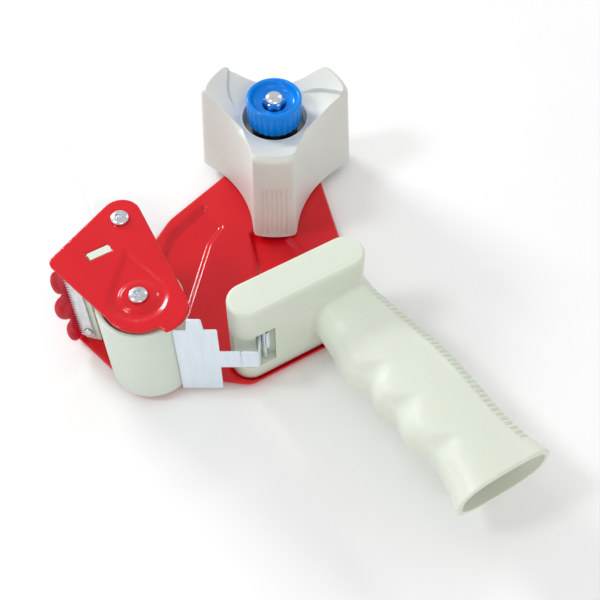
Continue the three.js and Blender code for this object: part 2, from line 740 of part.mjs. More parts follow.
// A small dome-headed rivet with its head's seat at the origin and its head along +Y.
function rivetBody(length) {
  const { radius, head } = RIVET;
  const profile = [
    [0, -length],
    [radius, -length],
    [radius, 0],
    [head, 0],
    [head * 0.9, 0.5],
    [head * 0.57, 0.9],
    [0, 1.05],
  ];
  const points = profile.map(([r, y]) => new THREE.Vector2(r, y));
  return solid(new THREE.LatheGeometry(points, HOLE_SIDES));
}

add('blade', makeBlade(), brushed);
add('blade_holder', makeBladeHolder(), ivoryPlastic);
BLADE_RIVETS.heights.forEach((z, i) => {
  const rivet = add(`blade_rivet_${i + 1}`, rivetBody(3), brushed);
  const seat = onBlade(BLADE_RIVETS.down, GAP);
  rivet.position.set(seat.x, seat.y, z);
  rivet.rotation.z = Math.atan2(bladeOut.y, bladeOut.x) - Math.PI / 2;
});

const WIPER = { near: BAR.high + GAP, thick: 1.5, root: -102.2, bottom: 4.6, top: 50.4 };
// Fingers along the free edge: [height of the middle, reach].
const WIPER_FINGERS = [[10.5, -124.8], [27.5, -127.4], [44, -124.8]];

function makeWiper() {
  const shape = new THREE.Shape();
  const hem = -121.6; // where the fingers start
  const half = 7.4;
  shape.moveTo(WIPER.root, WIPER.bottom);
  shape.lineTo(WIPER.root, WIPER.top);
  shape.lineTo(hem, WIPER.top);
  for (const [middle, reach] of [...WIPER_FINGERS].reverse()) {
    const top = Math.min(middle + half, WIPER.top);
    const bottom = Math.max(middle - half, WIPER.bottom);
    shape.lineTo(hem, top);
    shape.bezierCurveTo(reach - 1.2, top, reach - 1.2, bottom, hem, bottom);
  }
  shape.lineTo(hem, WIPER.bottom);
  shape.closePath();
  const geometry = extruded(shape, WIPER.thick, 6);
  // Drawn in (x, z): laid upright with its thickness along +Y.
  geometry.rotateX(Math.PI / 2).translate(0, WIPER.near + WIPER.thick, 0);
  let wiper = solid(geometry);
  for (const z of WIPER_RIVETS.heights) wiper = wiper.subtract(wiperHole(z));
  return wiper;
}
add('wiper', makeWiper(), redRubber);
WIPER_RIVETS.heights.forEach((z, i) => {
  const rivet = add(`wiper_rivet_${i + 1}`, rivetBody(4.6), brushed);
  rivet.position.set(WIPER_RIVETS.x, WIPER.near + WIPER.thick + GAP, z);
});

// ---- Guide plate --------------------------------------------------------------------------
function makeGuidePlate() {
  const { face, thick } = GUIDE;
  const curl = { low: 21, high: 31.6, inner: GUIDE_PIN.radius + GAP, sides: 16 };
  const outer = curl.inner + thick;
  const turnIn = GUIDE_PIN.u - curl.inner; // inner face of the leg that turns in
  const outline = roundedOutline([
    [-38.3, 3, 0.6],
    [-21, 3, 0.6],
    [-21, 20.4, 0.4],
    [turnIn, 20.4, 0.3],
    [turnIn, 32.3, 0.3],
    [-20.8, 32.3, 0.4],
    [-20.8, 48.6, 0.8],
    [-26, 48.6, 0.4],
    [-26.6, 56, 0.8],
    [-32.2, 56, 0.8],
    [-33, 48.8, 0.4],
    [-38.3, 48.8, 0.6],
  ]);
  const sheet = extruded(outline, thick, 2);
  // Drawn in (u, z): stood upright, its outer face towards -v.
  sheet.rotateX(Math.PI / 2).translate(0, face + thick, 0).rotateZ(radians(GUIDE_ANGLE));
  let plate = solid(sheet);
  // The tongue turns in through the notch and curls round its pin.
  plate = plate.add(guideBox(turnIn - thick, turnIn, face, GUIDE_PIN.v, curl.low, curl.high));
  const [x, y] = fromGuide(GUIDE_PIN.u, GUIDE_PIN.v);
  plate = plate.add(disc(x, y, outer, curl.low, curl.high, curl.sides));
  return plate.subtract(disc(x, y, curl.inner, curl.low - 5, curl.high + 5, curl.sides));
}
add('guide_plate', makeGuidePlate(), zinc);
const [pinX, pinY] = fromGuide(GUIDE_PIN.u, GUIDE_PIN.v);
const guidePin = disc(pinX, pinY, GUIDE_PIN.radius, GUIDE_PIN.bottom, GUIDE_PIN.top, HOLE_SIDES);
add('guide_pin', guidePin, steel);

// ---- Clear flap ---------------------------------------------------------------------------
const flapGroup = new THREE.Group();
flapGroup.position.set(FLAP.x, FLAP.y, 0);
flapGroup.rotation.z = radians(FLAP.angle);
group.add(flapGroup);
const film = new THREE.BoxGeometry(FLAP.length, FLAP.thick, FLAP.top - FLAP.bottom);
film.translate(FLAP.length / 2, 0, (FLAP.top + FLAP.bottom) / 2);
add('clear_flap', film, clearFilm, flapGroup);

export default group;
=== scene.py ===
"""The looks of the packing-tape dispenser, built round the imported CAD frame."""
import math

import bmesh
import bpy
import numpy as np
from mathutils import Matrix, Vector
from mathutils.geometry import delaunay_2d_cdt


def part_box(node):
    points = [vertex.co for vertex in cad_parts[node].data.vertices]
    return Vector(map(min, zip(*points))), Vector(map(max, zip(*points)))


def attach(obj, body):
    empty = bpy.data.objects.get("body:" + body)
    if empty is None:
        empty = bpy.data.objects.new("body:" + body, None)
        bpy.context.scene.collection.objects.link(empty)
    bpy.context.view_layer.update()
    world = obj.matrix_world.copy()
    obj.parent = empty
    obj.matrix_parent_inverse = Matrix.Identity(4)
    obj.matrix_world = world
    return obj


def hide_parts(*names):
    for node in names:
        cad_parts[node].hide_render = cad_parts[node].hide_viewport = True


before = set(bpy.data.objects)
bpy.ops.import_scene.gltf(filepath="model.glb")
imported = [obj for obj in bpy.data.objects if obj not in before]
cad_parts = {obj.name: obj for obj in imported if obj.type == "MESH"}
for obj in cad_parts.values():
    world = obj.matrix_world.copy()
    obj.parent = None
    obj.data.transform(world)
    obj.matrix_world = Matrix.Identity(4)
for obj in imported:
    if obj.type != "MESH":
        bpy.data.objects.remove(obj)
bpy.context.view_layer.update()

MM = 0.001
SCENE = bpy.context.scene


# ---- Camera -------------------------------------------------------------------------------
camera_data = bpy.data.cameras.new("camera")
camera_data.lens = 59.72
camera_data.sensor_width = 36
camera = bpy.data.objects.new("camera", camera_data)
camera.location = (-0.1568, -0.2868, 0.37686)
camera.rotation_euler = (math.radians(34.18), 0, math.radians(-30.72))
SCENE.collection.objects.link(camera)
SCENE.camera = camera
SCENE.view_settings.view_transform = "Standard"


# ---- Materials ----------------------------------------------------------------------------
class Nodes:
    """A material's node tree, with short calls for the nodes used here."""

    def __init__(self, name):
        self.material = bpy.data.materials.new(name)
        self.material.use_nodes = True
        self.tree = self.material.node_tree
        self.shader = self.tree.nodes["Principled BSDF"]
        self.where = self.tree.nodes.new("ShaderNodeTexCoord").outputs["Object"]

    def link(self, a, b):
        self.tree.links.new(a, b)

    def stretched(self, scale):
        node = self.tree.nodes.new("ShaderNodeMapping")
        node.inputs["Scale"].default_value = scale
        self.link(self.where, node.inputs["Vector"])
        return node.outputs["Vector"]

    def noise(self, scale, detail=4, rough=0.55, vector=None, distortion=0):
        node = self.tree.nodes.new("ShaderNodeTexNoise")
        node.inputs["Scale"].default_value = scale
        node.inputs["Detail"].default_value = detail
        node.inputs["Roughness"].default_value = rough
        node.inputs["Distortion"].default_value = distortion
        self.link(vector or self.where, node.inputs["Vector"])
        return node.outputs["Fac"]

    def spread(self, value, low, high, start=0.3, end=0.7):
        node = self.tree.nodes.new("ShaderNodeMapRange")
        node.inputs["From Min"].default_value = start
        node.inputs["From Max"].default_value = end
        node.inputs["To Min"].default_value = low
        node.inputs["To Max"].default_value = high
        self.link(value, node.inputs["Value"])
        return node.outputs["Result"]

    def mixed(self, factor, a, b):
        node = self.tree.nodes.new("ShaderNodeMix")
        node.data_type = "RGBA"
        self.link(factor, node.inputs["Factor"])
        for value, socket in ((a, node.inputs[6]), (b, node.inputs[7])):
            if isinstance(value, tuple):
                socket.default_value = (*value, 1)
            else:
                self.link(value, socket)
        return node.outputs[2]

    def bump(self, height, strength, distance, below=None):
        node = self.tree.nodes.new("ShaderNodeBump")
        node.inputs["Strength"].default_value = strength
        node.inputs["Distance"].default_value = distance
        self.link(height, node.inputs["Height"])
        if below:
            self.link(below, node.inputs["Normal"])
        return node.outputs["Normal"]

    def painted_edge_highlight(self, low, high):
        """1 along convex edges, 0 elsewhere: the mask for a painted highlight along the bends."""
        node = self.tree.nodes.new("ShaderNodeNewGeometry")
        return self.spread(node.outputs["Pointiness"], 0, 1, low, high)

    def set(self, **values):
        for name, value in values.items():
            socket = self.shader.inputs[name.replace("_", " ")]
            if hasattr(value, "is_linked"):
                self.link(value, socket)
            else:
                socket.default_value = (*value, 1) if isinstance(value, tuple) else value
        return self.material


def enamel():
    n = Nodes("red_enamel")
    patches = n.spread(n.noise(35, 3), 0, 1)
    colour = n.mixed(patches, (0.60, 0.003, 0.010), (0.69, 0.006, 0.014))
    # Painted highlight: convex edges and bends are mixed toward a lighter red, colour standing in for the
    # bright reflections along the pressed bends.
    edge = n.painted_edge_highlight(0.56, 0.62)
    colour = n.mixed(n.spread(edge, 0, 0.35, 0, 1), colour, (0.80, 0.04, 0.04))
    peel = n.bump(n.noise(700, 2), 0.04, 0.0004)
    return n.set(
        Base_Color=colour,
        Roughness=n.spread(n.noise(900, 2), 0.14, 0.24),
        Normal=n.bump(n.noise(60, 2), 0.08, 0.002, peel),
        Specular_IOR_Level=0.30,
        Coat_Weight=0.25,
        Coat_Roughness=0.05,
    )


def moulded(name, dark, light, rough, grain=0.06, subsurface=0.12, gloss=0.4):
    n = Nodes(name)
    flow = n.noise(14, 5, 0.6, n.stretched((1, 0.35, 1)), 0.6)
    colour = n.mixed(n.spread(flow, 0, 1), dark, light)
    speck = n.noise(2600, 2)
    colour = n.mixed(n.spread(speck, 0, 0.10, 0.55, 0.75), colour, tuple(c * 0.82 for c in dark))
    return n.set(
        Base_Color=colour,
        Roughness=n.spread(n.noise(120, 3), rough - 0.05, rough + 0.07),
        Normal=n.bump(speck, grain, 0.0002, n.bump(n.noise(90, 2), 0.04, 0.001)),
        Subsurface_Weight=subsurface,
        Subsurface_Scale=0.004,
        IOR=1.49,
        Specular_IOR_Level=gloss,
    )


def metal(name, dark, light, rough, stretch, scratch=0.10, metallic=1.0):
    n = Nodes(name)
    grain = n.noise(500, 3, 0.6, n.stretched(stretch))
    colour = n.mixed(n.spread(grain, 0, 1), dark, light)
    stain = n.spread(n.noise(70, 4), 0.7, 1.25)
    wide = n.tree.nodes.new("ShaderNodeMath")
    wide.operation = "MULTIPLY"
    n.link(n.spread(grain, rough * 0.8, rough * 1.3), wide.inputs[0])
    n.link(stain, wide.inputs[1])
    return n.set(
        Base_Color=colour,
        Metallic=metallic,
        Roughness=wide.outputs[0],
        Normal=n.bump(grain, scratch, 0.0002),
    )


def rubber():
    n = Nodes("red_rubber")
    colour = n.mixed(n.spread(n.noise(60, 4), 0, 1), (0.50, 0.003, 0.02), (0.66, 0.006, 0.03))
    return n.set(
        Base_Color=colour,
        Roughness=n.spread(n.noise(200, 3), 0.24, 0.40),
        Normal=n.bump(n.noise(1500, 2), 0.08, 0.0002),
        Subsurface_Weight=0.1,
        Subsurface_Scale=0.003,
    )


def clear_film():
    n = Nodes("clear_film")
    haze = n.noise(40, 4, 0.6, n.stretched((1, 1, 0.2)))
    return n.set(
        Base_Color=n.mixed(n.spread(haze, 0, 1), (0.70, 0.75, 0.78), (0.85, 0.89, 0.91)),
        Roughness=n.spread(haze, 0.05, 0.16),
        Alpha=n.spread(haze, 0.22, 0.36),
        Normal=n.bump(haze, 0.05, 0.0005),
        IOR=1.49,
    )


ENAMEL = enamel()
IVORY = moulded("ivory_plastic", (0.670, 0.730, 0.620), (0.745, 0.785, 0.690), 0.38)
ROLLER = moulded("roller_plastic", (0.640, 0.705, 0.625), (0.700, 0.755, 0.680), 0.46)
GREY = moulded("grey_plastic", (0.660, 0.680, 0.640), (0.730, 0.740, 0.705), 0.40)
BLUE = moulded("blue_plastic", (0.001, 0.20, 0.74), (0.002, 0.27, 0.86), 0.16, 0.02, 0.0, 0.25)
RUBBER = rubber()
ZINC = metal("zinc_plate", (0.72, 0.81, 0.90), (0.82, 0.89, 0.95), 0.50, (1, 1, 0.08), 0.03, 0.45)
BRIGHT = metal("bright_steel", (0.66, 0.68, 0.72), (0.84, 0.86, 0.89), 0.20, (1, 1, 1), 0.015)
GROUND = metal("ground_steel", (0.58, 0.59, 0.61), (0.80, 0.81, 0.83), 0.42, (1, 1, 0.3), 0.12, 0.75)
DARK = metal("oiled_steel", (0.04, 0.04, 0.045), (0.10, 0.10, 0.11), 0.45, (1, 1, 1))
FILM = clear_film()


# ---- Making pieces ------------------------------------------------------------------------
def piece(name, points, faces, material, body, nodes, sharp=32):
    """A smooth-shaded piece from points in millimetres, standing for the CAD nodes."""
    mesh = bpy.data.meshes.new(name)
    mesh.from_pydata((np.asarray(points) * MM).tolist(), [], faces)
    return finished(bpy.data.objects.new(name, mesh), material, body, nodes, sharp)


def finished(obj, material, body, nodes, sharp=32):
    mesh = obj.data
    mesh.validate()
    work = bmesh.new()
    work.from_mesh(mesh)
    bmesh.ops.recalc_face_normals(work, faces=work.faces)
    work.to_mesh(mesh)
    work.free()
    mesh.polygons.foreach_set("use_smooth", [True] * len(mesh.polygons))
    mesh.set_sharp_from_angle(angle=math.radians(sharp))
    mesh.materials.clear()
    mesh.materials.append(material)
    if obj.name not in SCENE.collection.objects:
        SCENE.collection.objects.link(obj)
    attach(obj, body)
    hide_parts(*nodes)
    return obj


def dressed(node, material, angle=35):
    """Keeps a CAD node's shape, with smooth shading and a better finish."""
    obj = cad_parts[node]
    mesh = obj.data
    if "custom_normal" in mesh.attributes:
        mesh.attributes.remove(mesh.attributes["custom_normal"])
    mesh.polygons.foreach_set("use_smooth", [True] * len(mesh.polygons))
    mesh.materials.clear()
    mesh.materials.append(material)
    weld = obj.modifiers.new("weld", "WELD")
    weld.merge_threshold = 1e-6
    split = obj.modifiers.new("edges", "EDGE_SPLIT")
    split.split_angle = math.radians(angle)


def bands(count, around, wrap=False):
    """Quads between rings of points, with the last ring joined to the first if wrap."""
    faces = []
    for i in range(count if wrap else count - 1):
        a, b = i * around, ((i + 1) % count) * around
        for j in range(around):
            k = (j + 1) % around
            faces.append((a + j, a + k, b + k, b + j))
    return faces


def lathe(profile, x, y, around=96):
    """Rings round the vertical through (x, y); the profile is (radius, height) pairs."""
    turn = np.linspace(0, 2 * np.pi, around, endpoint=False)
    rings = [
        np.column_stack([x + r * np.cos(turn), y + r * np.sin(turn), np.full(around, z)])
        for r, z in profile
    ]
    return np.vstack(rings)


def rounded(profile, radius, steps=4):
    """A closed profile with each corner that has room turned into a small arc."""
    out = []
    count = len(profile)
    for i in range(count):
        here = np.array(profile[i], float)
        back = np.array(profile[i - 1], float) - here
        ahead = np.array(profile[(i + 1) % count], float) - here
        room = min(np.linalg.norm(back), np.linalg.norm(ahead)) / 2.2
        reach = min(radius, room)
        a = here + back / np.linalg.norm(back) * reach
        b = here + ahead / np.linalg.norm(ahead) * reach
        for t in np.linspace(0, 1, steps):
            out.append(tuple((1 - t) ** 2 * a + 2 * t * (1 - t) * here + t * t * b))
    return out


def rounded_outline(corners, step=1.0):
    """A closed outline from (x, y, corner radius) triples, with points about step apart."""
    points = []
    count = len(corners)
    for i in range(count):
        here = np.array(corners[i][:2], float)
        radius = corners[i][2]
        back = np.array(corners[i - 1][:2], float) - here
        ahead = np.array(corners[(i + 1) % count][:2], float) - here
        back /= np.linalg.norm(back)
        ahead /= np.linalg.norm(ahead)
        half = math.acos(np.clip(back @ ahead, -1, 1)) / 2
        start = here + back * radius / math.tan(half)
        end = here + ahead * radius / math.tan(half)
        middle = (back + ahead) / np.linalg.norm(back + ahead)
        centre = here + middle * radius / math.sin(half)
        a = math.atan2(*(start - centre)[::-1])
        b = math.atan2(*(end - centre)[::-1])
        sweep = (b - a + math.pi) % (2 * math.pi) - math.pi
        pieces = max(4, int(abs(sweep) * radius / step))
        for t in np.linspace(a, a + sweep, pieces + 1):
            points.append(centre + radius * np.array([math.cos(t), math.sin(t)]))
    return resampled(points, step)


def resampled(points, step):
    """The closed polyline with no gap longer than step."""
    out = []
    points = [np.asarray(p, float) for p in points]
    for a, b in zip(points, points[1:] + points[:1]):
        length = np.linalg.norm(b - a)
        if length < 1e-4:
            continue
        parts = max(1, int(math.ceil(length / step)))
        out += [a + (b - a) * i / parts for i in range(parts)]
    return np.array(out)


def arcs(parts, step=1.0):
    """A closed outline through arcs given as (x, y, radius, from, to) in degrees."""
    points = []
    for x, y, radius, a, b in parts:
        for t in np.radians(np.linspace(a, b, 24)):
            points.append((x + radius * math.cos(t), y + radius * math.sin(t)))
    return resampled(points, step)


def depth_inside(outline, points):
    """Distance of each point from the outline, positive inside it."""
    a = outline[None, :, :]
    b = np.roll(outline, -1, axis=0)[None, :, :]
    p = points[:, None, :]
    along = np.clip(((p - a) * (b - a)).sum(2) / ((b - a) ** 2).sum(2), 0, 1)
    gap = np.linalg.norm(p - a - along[..., None] * (b - a), axis=2).min(1)
    crosses = (a[..., 1] > p[..., 1]) != (b[..., 1] > p[..., 1])
    slope = (b[..., 0] - a[..., 0]) / np.where(b[..., 1] == a[..., 1], 1e-12, b[..., 1] - a[..., 1])
    inside = (crosses & (p[..., 0] < a[..., 0] + slope * (p[..., 1] - a[..., 1]))).sum(1) % 2 == 1
    return np.where(inside, gap, -gap)


def eased(value, start, end):
    t = np.clip((value - start) / (end - start), 0, 1)
    return t * t * (3 - 2 * t)


def moved_in(outline, distance):
    """The outline moved into its own material (negative to move out)."""
    before, after = np.roll(outline, 1, axis=0), np.roll(outline, -1, axis=0)
    along = (after - before) / np.linalg.norm(after - before, axis=1)[:, None]
    normal = np.column_stack([-along[:, 1], along[:, 0]])
    area = (outline[:, 0] * after[:, 1] - after[:, 0] * outline[:, 1]).sum()
    return outline + normal * distance * (1 if area > 0 else -1)


def sheet_mesh(outline, holes, top, bottom, place, grid=1.1, edge=0.3, extra=()):
    """A pressed sheet: a flat outline with holes, between two height functions.
    place turns an (n, 3) array of (a, b, height) into points of the row frame."""
    loops = [moved_in(outline, edge)] + [moved_in(h, -edge) for h in holes]
    rims = [outline] + list(holes)
    low, high = outline.min(0), outline.max(0)
    mesh_x, mesh_y = np.meshgrid(np.arange(low[0], high[0], grid), np.arange(low[1], high[1], grid))
    mesh_x[1::2] += grid / 2
    inner = np.column_stack([mesh_x.ravel(), mesh_y.ravel()])
    keep = depth_inside(loops[0], inner) > grid * 0.6
    for hole in loops[1:]:
        keep &= depth_inside(hole, inner) < -grid * 0.5
    flat = np.vstack(loops + [inner[keep]] + [np.asarray(e) for e in extra])
    edges, start, spans = [], 0, []
    for loop in loops:
        size = len(loop)
        edges += [(start + i, start + (i + 1) % size) for i in range(size)]
        spans.append((start, size))
        start += size
    found = delaunay_2d_cdt([Vector(p) for p in flat], edges, [], 0, 1e-7)
    flat_out = np.array([tuple(v) for v in found[0]])
    index = {}
    for new, old in enumerate(found[3]):
        for o in old:
            index[o] = new
    triangles = np.array(found[2])
    centre = flat_out[triangles].mean(1)
    keep = depth_inside(loops[0], centre) > 0
    for hole in loops[1:]:
        keep &= depth_inside(hole, centre) < 0
    triangles = triangles[keep]
    count = len(flat_out)
    points = np.vstack([
        np.column_stack([flat_out, top(flat_out)]),
        np.column_stack([flat_out, bottom(flat_out)]),
    ])
    faces = [tuple(t) for t in triangles] + [tuple(t[::-1] + count) for t in triangles]
    for (first, size), rim in zip(spans, rims):
        upper = [index[first + i] for i in range(size)]
        lower = [u + count for u in upper]
        base = len(points)
        points = np.vstack([
            points,
            np.column_stack([rim, top(rim) - edge]),
            np.column_stack([rim, bottom(rim) + edge]),
        ])
        levels = [upper, [base + i for i in range(size)], [base + size + i for i in range(size)], lower]
        for one, two in zip(levels, levels[1:]):
            for i in range(size):
                k = (i + 1) % size
                faces.append((one[i], one[k], two[k], two[i]))
    return place(points), faces


def upright(points):
    return points


# ---- Side plates --------------------------------------------------------------------------
plate_low, plate_high = (np.array(v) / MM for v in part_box("side_plate"))
SHEET = 1.5
RIM_TOP = plate_high[2]
PRESS = RIM_TOP - SHEET - plate_low[2]
BLOCK = {"left": -61.5, "right": -15.5, "y": -85.0, "radius": 8.4, "bottom": 1.8, "top": 50.8}


def stadium(x0, x1, y, radius, step=1.0):
    return arcs([(x0, y, radius, 90, 270), (x1, y, radius, -90, 90)], step)


plate_outline = rounded_outline([
    (-123.2, -30.3, 4), (-113.2, -67, 12), (-107.4, -80.2, 12), (-90, -80.4, 10), (-76.4, -88.4, 6),
    (-67.6, -95.6, 9), (-7.6, -95.6, 5), (19, -9, 18), (9, 24, 17), (-57.5, 3, 20), (-72, -6.4, 8),
])
PANELS = [
    (rounded_outline([
        (-37.6, 4.8, 3), (-60.7, -3.4, 5), (-69.3, -12.2, 12), (-78, -33, 10), (-80, -57, 3),
        (-46.5, -20, 10), (-36, -13.8, 4),
    ]), 3.0),
    (rounded_outline([
        (-28.5, -21, 3), (-35, -41, 20), (-52, -68, 12), (-52, -84, 3), (-12, -84, 3),
        (-11.8, -40, 10), (-14, -27, 4),
    ]), 3.0),
    (stadium(BLOCK["left"], BLOCK["right"], BLOCK["y"], 10.6), 2.0),
]


def pressed(points):
    sunk = np.zeros(len(points))
    for outline, ramp in PANELS:
        sunk = np.maximum(sunk, eased(depth_inside(outline, points), 0, ramp))
    return PRESS * sunk


BAR = {"tab": -107.6, "right": -98.2, "low": -38.3, "high": -34.7, "clear": 0.5}


def bar_slot():
    c = BAR["clear"]
    left, right = BAR["tab"] - c, BAR["right"] + c
    low, high = BAR["low"] - c / 2, BAR["high"] + c / 2
    corner = 0.4
    return rounded_outline([
        (left, low, corner), (right, low, corner), (right, high, corner), (left, high, corner),
    ], 0.6)


points, faces = sheet_mesh(
    plate_outline, [bar_slot()],
    lambda p: RIM_TOP - pressed(p[:, :2]),
    lambda p: RIM_TOP - SHEET - pressed(p[:, :2]),
    upright, grid=0.95,
)
piece("pressed_side_plate", points, faces, ENAMEL, "frame", ["side_plate"], 60)

cheek_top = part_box("cheek_plate")[1][2] / MM
roller_low, roller_high = (np.array(v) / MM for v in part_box("tape_roller"))
ROLL = (roller_low + roller_high) / 2


def teardrop(radius):
    spread, aim = 61, 77
    apex = radius / math.cos(math.radians(spread))
    tip = (ROLL[0] + apex * math.cos(math.radians(aim)), ROLL[1] + apex * math.sin(math.radians(aim)))
    points = [
        (ROLL[0] + radius * math.cos(t), ROLL[1] + radius * math.sin(t))
        for t in np.radians(np.linspace(aim + spread, aim - spread + 360, 60))
    ]
    points.append(tip)
    return resampled(points, 1.0)


cheek_outline = arcs([
    (-118.6, -32.6, 4, 114, 195),
    (ROLL[0], ROLL[1] - 1.8, 15.1, 183, 272),
    (-94, -73, 11.7, 258, 354),
    (-87.1, -23.3, 8.4, -6, 114),
], 0.9)
drop = teardrop(12.9)


def cheek_relief(p):
    hollow = eased(depth_inside(drop, p), 0, 3.4)
    reach = np.hypot(p[:, 0] - ROLL[0], p[:, 1] - ROLL[1])
    island = 1 - eased(reach, 6.3, 8.7)
    return np.minimum(1.0, hollow) * (1 - island)


points, faces = sheet_mesh(
    cheek_outline, [bar_slot()],
    lambda p: cheek_top - cheek_relief(p[:, :2]),
    lambda p: cheek_top - SHEET - cheek_relief(p[:, :2]),
    upright, grid=0.55,
)
piece("pressed_cheek_plate", points, faces, ENAMEL, "frame", ["cheek_plate"], 60)


# ---- Screws -------------------------------------------------------------------------------
def cross_screw(name, node, upwards):
    """A pan head with a cross recess, and its shank."""
    low, high = (np.array(v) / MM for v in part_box(node))
    x, y = (low[:2] + high[:2]) / 2
    head = (high[0] - low[0]) / 2
    tall = 1.9 if upwards else 1.6
    around, rings = 96, 26
    turn = np.linspace(0, 2 * np.pi, around, endpoint=False)
    grid = []
    for r in np.linspace(0.02, 1, rings):
        radius = head * r
        dome = tall * (0.35 + 0.65 * math.sqrt(max(0, 1 - r ** 2.2)))
        px, py = radius * np.cos(turn), radius * np.sin(turn)
        arm = np.minimum(np.abs(px), np.abs(py))
        span = np.maximum(np.abs(px), np.abs(py))
        cut = (1 - eased(arm, 0.28, 0.50)) * (1 - eased(span, 1.5, 1.9))
        round_hole = 1 - eased(np.hypot(px, py), 0.6, 0.9)
        z = dome - 0.8 * np.maximum(cut, round_hole)
        grid.append(np.column_stack([px, py, z]))
    for r, z in ((1.0, 0.12), (0.97, 0), (0.47, 0), (0.47, -10.9), (0.40, -11)):
        grid.append(np.column_stack([head * r * np.cos(turn), head * r * np.sin(turn), np.full(around, z)]))
    points = np.vstack(grid)
    faces = bands(len(grid), around)
    faces.append(tuple(range(around))[::-1])
    faces.append(tuple(range((len(grid) - 1) * around, len(grid) * around)))
    spin = math.radians(35 if upwards else 10)
    px, py = points[:, 0].copy(), points[:, 1].copy()
    points[:, 0] = px * math.cos(spin) - py * math.sin(spin)
    points[:, 1] = px * math.sin(spin) + py * math.cos(spin)
    if upwards:
        points[:, 2] += high[2] - 1.9
    else:
        points[:, 2] = low[2] + 1.6 - points[:, 2]
    points[:, :2] += (x, y)
    piece(name, points, faces, BRIGHT, "frame", [node], 40)


for where in ("roller", "post"):
    cross_screw(f"{where}_pan_screw_top", f"{where}_screw_cheek_side", True)
    cross_screw(f"{where}_pan_screw_back", f"{where}_screw_plate_side", False)


# ---- Roller -------------------------------------------------------------------------------
roller_radius = (roller_high[0] - roller_low[0]) / 2
profile = rounded([
    (4.7, roller_low[2]), (7.3, roller_low[2]), (7.3, roller_low[2] + 16), (15.4, roller_low[2] + 16),
    (15.4, roller_low[2]), (roller_radius, roller_low[2]), (roller_radius, roller_high[2]),
    (15.4, roller_high[2]), (15.4, roller_high[2] - 16), (7.3, roller_high[2] - 16),
    (7.3, roller_high[2]), (4.7, roller_high[2]),
], 0.8)
points = lathe(profile, ROLL[0], ROLL[1], 128)
piece("roller_sleeve", points, bands(len(profile), 128, True),
      ROLLER, "roller", ["tape_roller"], 40)


# ---- Hub ----------------------------------------------------------------------------------
hub_low, hub_high = (np.array(v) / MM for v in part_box("tape_hub"))
HUB = {"foot": 38.1, "crown": 35.1, "first": -120.7, "half": 10.3, "waist": 20.3, "wall": 2.6,
       "well": 14.7, "floor": 36.0, "bore": 5.6, "dish": 46.2, "top": hub_high[2], "bottom": hub_low[2]}


def lobed(foot, half, waist, soften=24):
    """Three pads joined by hollow sides, always with the same number of points."""
    pad = math.asin(half / foot)
    opening = math.pi / 3
    corner = foot * np.array([math.cos(opening - pad), math.sin(opening - pad)])
    far = (corner @ corner - waist ** 2) / (2 * (corner[0] - waist))
    swing = math.atan2(corner[1], far - corner[0])
    points = []
    for i in range(3):
        lobe = math.radians(HUB["first"]) + i * 2 * opening
        for t in np.linspace(lobe - pad, lobe + pad, 60, endpoint=False):
            points.append((foot * math.cos(t), foot * math.sin(t)))
        between = lobe + opening
        for t in np.linspace(math.pi + swing, math.pi - swing, 72, endpoint=False):
            a = between + t
            points.append((
                far * math.cos(between) + (far - waist) * math.cos(a),
                far * math.sin(between) + (far - waist) * math.sin(a),
            ))
    points = np.array(points)
    for _ in range(soften):
        points = points * 0.5 + (np.roll(points, 1, 0) + np.roll(points, -1, 0)) * 0.25
    return points


foot_line = lobed(HUB["foot"], HUB["half"], HUB["waist"])
AROUND = len(foot_line)
bearing = np.arctan2(foot_line[:, 1], foot_line[:, 0])


def circle_ring(radius, z):
    return np.column_stack([radius * np.cos(bearing), radius * np.sin(bearing), np.full(AROUND, z)])


def from_lobe(angle):
    """Angle from the nearest lobe's middle, in degrees."""
    return (np.degrees(angle) - HUB["first"] + 60) % 120 - 60


def hub_top(x, y):
    """Height of the swept top: it climbs outwards, and a curved step crosses each lobe."""
    r = np.hypot(x, y)
    climb = (HUB["top"] - 0.6 - HUB["dish"]) / (HUB["crown"] - 15.5)
    z = HUB["dish"] + np.maximum(0, r - 15.5) * climb
    fold = np.interp(r, [17, 18, 23, 28, 33, 36], [22, 19, 7, -8, -20, -26])
    past = np.radians(fold - from_lobe(np.arctan2(y, x))) * r
    depth = 1.7 * eased(r, 17, 24)
    return z - depth * np.exp(-np.maximum(past, 0) / 9.0) * eased(past, 0, 0.7)


def scaled(z):
    share = (z - HUB["bottom"]) / (HUB["top"] - HUB["bottom"])
    return 1 - (1 - HUB["crown"] / HUB["foot"]) * share


rings = []
inner_line = lobed(HUB["crown"] - HUB["wall"], HUB["half"] - HUB["wall"], HUB["waist"] - HUB["wall"])
ceiling = HUB["dish"] - HUB["wall"]
tube = HUB["well"] + HUB["wall"]
# Underside, from the pads' feet in to the bore and up through it into the well.
rings.append(np.column_stack([foot_line * 0.985, np.full(AROUND, HUB["bottom"])]))
rings.append(np.column_stack([inner_line * 1.01, np.full(AROUND, HUB["bottom"])]))
rings.append(np.column_stack([inner_line, np.full(AROUND, HUB["bottom"] + 0.4)]))
rings.append(np.column_stack([inner_line, np.full(AROUND, ceiling)]))
rings.append(circle_ring(tube + 0.1, ceiling))
rings.append(circle_ring(tube, HUB["floor"] - HUB["wall"] + 0.4))
rings.append(circle_ring(tube - 0.4, HUB["floor"] - HUB["wall"]))
rings.append(circle_ring(HUB["bore"] + 3.6, HUB["floor"] - HUB["wall"]))
rings.append(circle_ring(HUB["bore"] + 3.6, HUB["bottom"] + 1.6))
rings.append(circle_ring(HUB["bore"] + 3.3, HUB["bottom"] + 1.4))
rings.append(circle_ring(HUB["bore"], HUB["bottom"] + 1.4))
rings.append(circle_ring(HUB["bore"], HUB["floor"]))
rings.append(circle_ring(HUB["well"] - 0.5, HUB["floor"]))
rings.append(circle_ring(HUB["well"], HUB["floor"] + 0.5))
rings.append(circle_ring(HUB["well"], HUB["dish"] - 0.5))
rings.append(circle_ring(HUB["well"] + 0.15, HUB["dish"] - 0.15))
